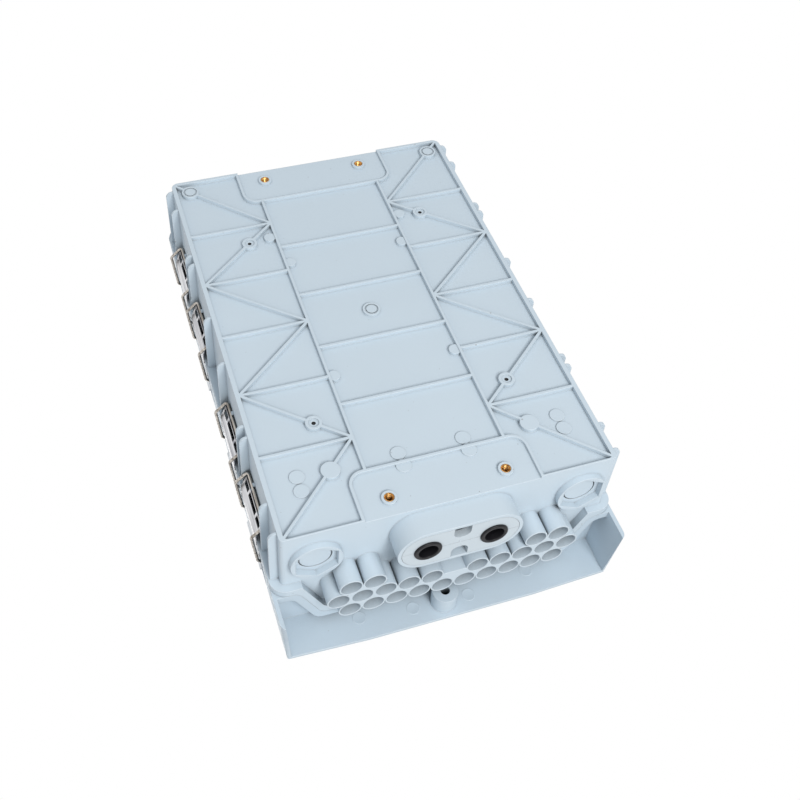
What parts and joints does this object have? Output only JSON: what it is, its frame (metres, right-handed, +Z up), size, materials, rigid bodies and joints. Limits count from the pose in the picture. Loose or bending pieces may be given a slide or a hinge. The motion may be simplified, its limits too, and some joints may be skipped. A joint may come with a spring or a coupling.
{
  "type": "fibre distribution box",
  "caption": "Wall-mounted plastic fibre distribution box with a ribbed back, drop-cable tubes, a hinged hooded lid and wire bail latches.",
  "frame": {"origin": "centre of the four mounting inserts on the back plane", "axes": "+Y out of the back towards the wall, +Z up along the box, +X to the latch side; the cable end is at -Z and the lid faces -Y"},
  "size_m": [0.2775, 0.118, 0.4103],
  "materials": {
    "body_plastic": "satin",
    "plate_plastic": "satin",
    "rubber": "matte",
    "steel": "satin",
    "brass": "satin",
    "tray_plastic": "satin",
    "cover_clear": "gloss",
    "panel_paint": "satin",
    "adapter_plastic": "gloss"
  },
  "bodies": {
    "base": {"base_box": "body_plastic", "base_hinges": "body_plastic", "latch_keepers": "steel", "mount_inserts": "brass", "entry_plate_upper": "plate_plastic", "entry_plate_lower": "plate_plastic", "entry_grommets": "rubber", "hinge_pins": "steel", "splice_tray": "tray_plastic", "tray_cover": "cover_clear", "tray_screws": "steel", "adapter_panel": "panel_paint", "fibre_adapters": "adapter_plastic", "panel_screws": "steel", "cable_clamps": "tray_plastic", "clamp_screws": "steel"},
    "lid": {"lid": "body_plastic", "lid_hinges": "body_plastic", "lid_seal": "rubber", "latch_pins": "steel"},
    "lever_1": {"latch_lever_1": "steel"},
    "bail_1": {"latch_bail_1": "steel"},
    "lever_2": {"latch_lever_2": "steel"},
    "bail_2": {"latch_bail_2": "steel"},
    "lever_3": {"latch_lever_3": "steel"},
    "bail_3": {"latch_bail_3": "steel"},
    "lever_4": {"latch_lever_4": "steel"},
    "bail_4": {"latch_bail_4": "steel"}
  },
  "joints": [
    {"name": "lid_hinge", "type": "hinge", "parent": "base", "child": "lid", "pos_m": [-0.1366, -0.064, 0], "axis": [0, 0, -1], "range_deg": [0, 120]},
    {"name": "lever_1_swing", "type": "hinge", "parent": "lid", "child": "lever_1", "pos_m": [0.1274, -0.079, 0.1235], "axis": [0, 0, 1], "range_deg": [0, 105]},
    {"name": "bail_1_swing", "type": "hinge", "parent": "lever_1", "child": "bail_1", "pos_m": [0.127, -0.0865, 0.1235], "axis": [0, 0, 1], "range_deg": [-121, 0]},
    {"name": "lever_2_swing", "type": "hinge", "parent": "lid", "child": "lever_2", "pos_m": [0.1274, -0.079, 0.0555], "axis": [0, 0, 1], "range_deg": [0, 105]},
    {"name": "bail_2_swing", "type": "hinge", "parent": "lever_2", "child": "bail_2", "pos_m": [0.127, -0.0865, 0.0555], "axis": [0, 0, 1], "range_deg": [-121, 0]},
    {"name": "lever_3_swing", "type": "hinge", "parent": "lid", "child": "lever_3", "pos_m": [0.1274, -0.079, -0.0555], "axis": [0, 0, 1], "range_deg": [0, 105]},
    {"name": "bail_3_swing", "type": "hinge", "parent": "lever_3", "child": "bail_3", "pos_m": [0.127, -0.0865, -0.0555], "axis": [0, 0, 1], "range_deg": [-121, 0]},
    {"name": "lever_4_swing", "type": "hinge", "parent": "lid", "child": "lever_4", "pos_m": [0.1274, -0.079, -0.1235], "axis": [0, 0, 1], "range_deg": [0, 105]},
    {"name": "bail_4_swing", "type": "hinge", "parent": "lever_4", "child": "bail_4", "pos_m": [0.127, -0.0865, -0.1235], "axis": [0, 0, 1], "range_deg": [-121, 0]}
  ],
  "couplings": [
    {"joint": "bail_1_swing", "follows": "lever_1_swing", "ratio": -1.15},
    {"joint": "bail_2_swing", "follows": "lever_2_swing", "ratio": -1.15},
    {"joint": "bail_3_swing", "follows": "lever_3_swing", "ratio": -1.15},
    {"joint": "bail_4_swing", "follows": "lever_4_swing", "ratio": -1.15}
  ]
}
